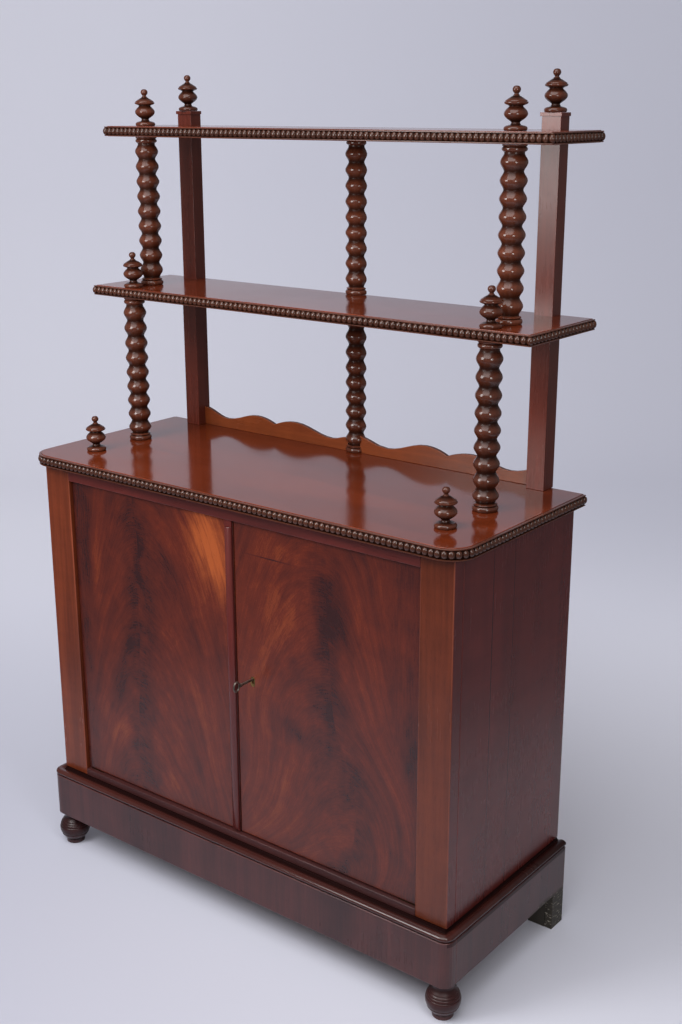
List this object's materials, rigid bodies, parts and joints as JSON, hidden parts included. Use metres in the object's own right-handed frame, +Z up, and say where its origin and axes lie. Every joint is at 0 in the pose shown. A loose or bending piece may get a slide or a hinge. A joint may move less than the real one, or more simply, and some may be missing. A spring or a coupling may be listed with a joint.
{
  "type": "etagere",
  "caption": "Mahogany chiffonier with flame-veneered doors on bun feet, and an etagere of open shelves above it on bobbin-turned columns with turned finials.",
  "frame": {"origin": "middle of the bounding box on the floor, between the feet", "axes": "+Z up, +Y from the front to the flat back, +X to the right as seen from the front"},
  "size_m": [1.02, 0.4368, 1.5823],
  "materials": {
    "beaded_mahogany": "gloss",
    "carcase_pine": "unpolished",
    "flame_mahogany": "satin",
    "front_mahogany": "satin",
    "gallery_mahogany": "satin",
    "moulding_mahogany": "gloss",
    "old_brass": "worn",
    "old_steel": "worn",
    "plinth_mahogany": "satin",
    "polished_mahogany": "high gloss french polish",
    "side_mahogany": "satin",
    "turned_mahogany": "gloss"
  },
  "bodies": {
    "cabinet": {"back_panel": "carcase_pine", "bottom_rail": "front_mahogany", "cabinet_floor": "carcase_pine", "cabinet_top": "polished_mahogany", "cabinet_top_moulding": "beaded_mahogany", "inner_shelf": "carcase_pine", "left_front_finial": "turned_mahogany", "left_front_foot": "turned_mahogany", "left_gallery": "gallery_mahogany", "left_lower_column": "turned_mahogany", "left_lower_pivot": "old_brass", "left_middle_finial": "turned_mahogany", "left_pilaster": "front_mahogany", "left_plinth_side": "plinth_mahogany", "left_post": "side_mahogany", "left_post_finial": "turned_mahogany", "left_rear_foot_block": "carcase_pine", "left_shelf_bearer": "carcase_pine", "left_side_panel": "side_mahogany", "left_top_finial": "turned_mahogany", "left_upper_column": "turned_mahogany", "left_upper_pivot": "old_brass", "lower_half_column": "turned_mahogany", "middle_shelf": "polished_mahogany", "middle_shelf_moulding": "beaded_mahogany", "plinth_front": "plinth_mahogany", "plinth_moulding": "moulding_mahogany", "right_front_finial": "turned_mahogany", "right_front_foot": "turned_mahogany", "right_gallery": "gallery_mahogany", "right_lower_column": "turned_mahogany", "right_lower_pivot": "old_brass", "right_middle_finial": "turned_mahogany", "right_pilaster": "front_mahogany", "right_plinth_side": "plinth_mahogany", "right_post": "side_mahogany", "right_post_finial": "turned_mahogany", "right_rear_foot_block": "carcase_pine", "right_shelf_bearer": "carcase_pine", "right_side_panel": "side_mahogany", "right_top_finial": "turned_mahogany", "right_upper_column": "turned_mahogany", "right_upper_pivot": "old_brass", "top_rail": "front_mahogany", "top_shelf": "polished_mahogany", "top_shelf_moulding": "beaded_mahogany", "upper_half_column": "turned_mahogany"},
    "left_door": {"left_door": "flame_mahogany", "closing_bead": "moulding_mahogany", "top_bolt_plate": "old_brass", "bottom_bolt_plate": "old_brass"},
    "right_door": {"right_door": "flame_mahogany", "lock_case": "old_steel", "keyhole_liner": "old_brass"},
    "key": {"key": "old_steel"},
    "lock_bolt": {"lock_bolt": "old_brass"},
    "top_bolt": {"top_bolt": "old_steel"},
    "bottom_bolt": {"bottom_bolt": "old_steel"}
  },
  "joints": [
    {"name": "left_door_hinge", "type": "hinge", "parent": "cabinet", "child": "left_door", "pos_m": [-0.4085, -0.1604, 0.2], "axis": [0, 0, 1], "range_deg": [-105, 0]},
    {"name": "right_door_hinge", "type": "hinge", "parent": "cabinet", "child": "right_door", "pos_m": [0.4085, -0.1604, 0.2], "axis": [0, 0, 1], "range_deg": [0, 105]},
    {"name": "key_turn", "type": "hinge", "parent": "right_door", "child": "key", "pos_m": [0.0475, -0.1654, 0.52], "axis": [0, 1, 0], "range_deg": [0, 90]},
    {"name": "lock_bolt_slide", "type": "slide", "parent": "right_door", "child": "lock_bolt", "axis": [-1, 0, 0], "range_m": [0, 0.009]},
    {"name": "top_bolt_slide", "type": "slide", "parent": "left_door", "child": "top_bolt", "axis": [0, 0, 1], "range_m": [0, 0.01]},
    {"name": "bottom_bolt_slide", "type": "slide", "parent": "left_door", "child": "bottom_bolt", "axis": [0, 0, -1], "range_m": [0, 0.01]}
  ],
  "couplings": [
    {"joint": "lock_bolt_slide", "follows": "key_turn", "m_per_rad": 0.00572}
  ]
}
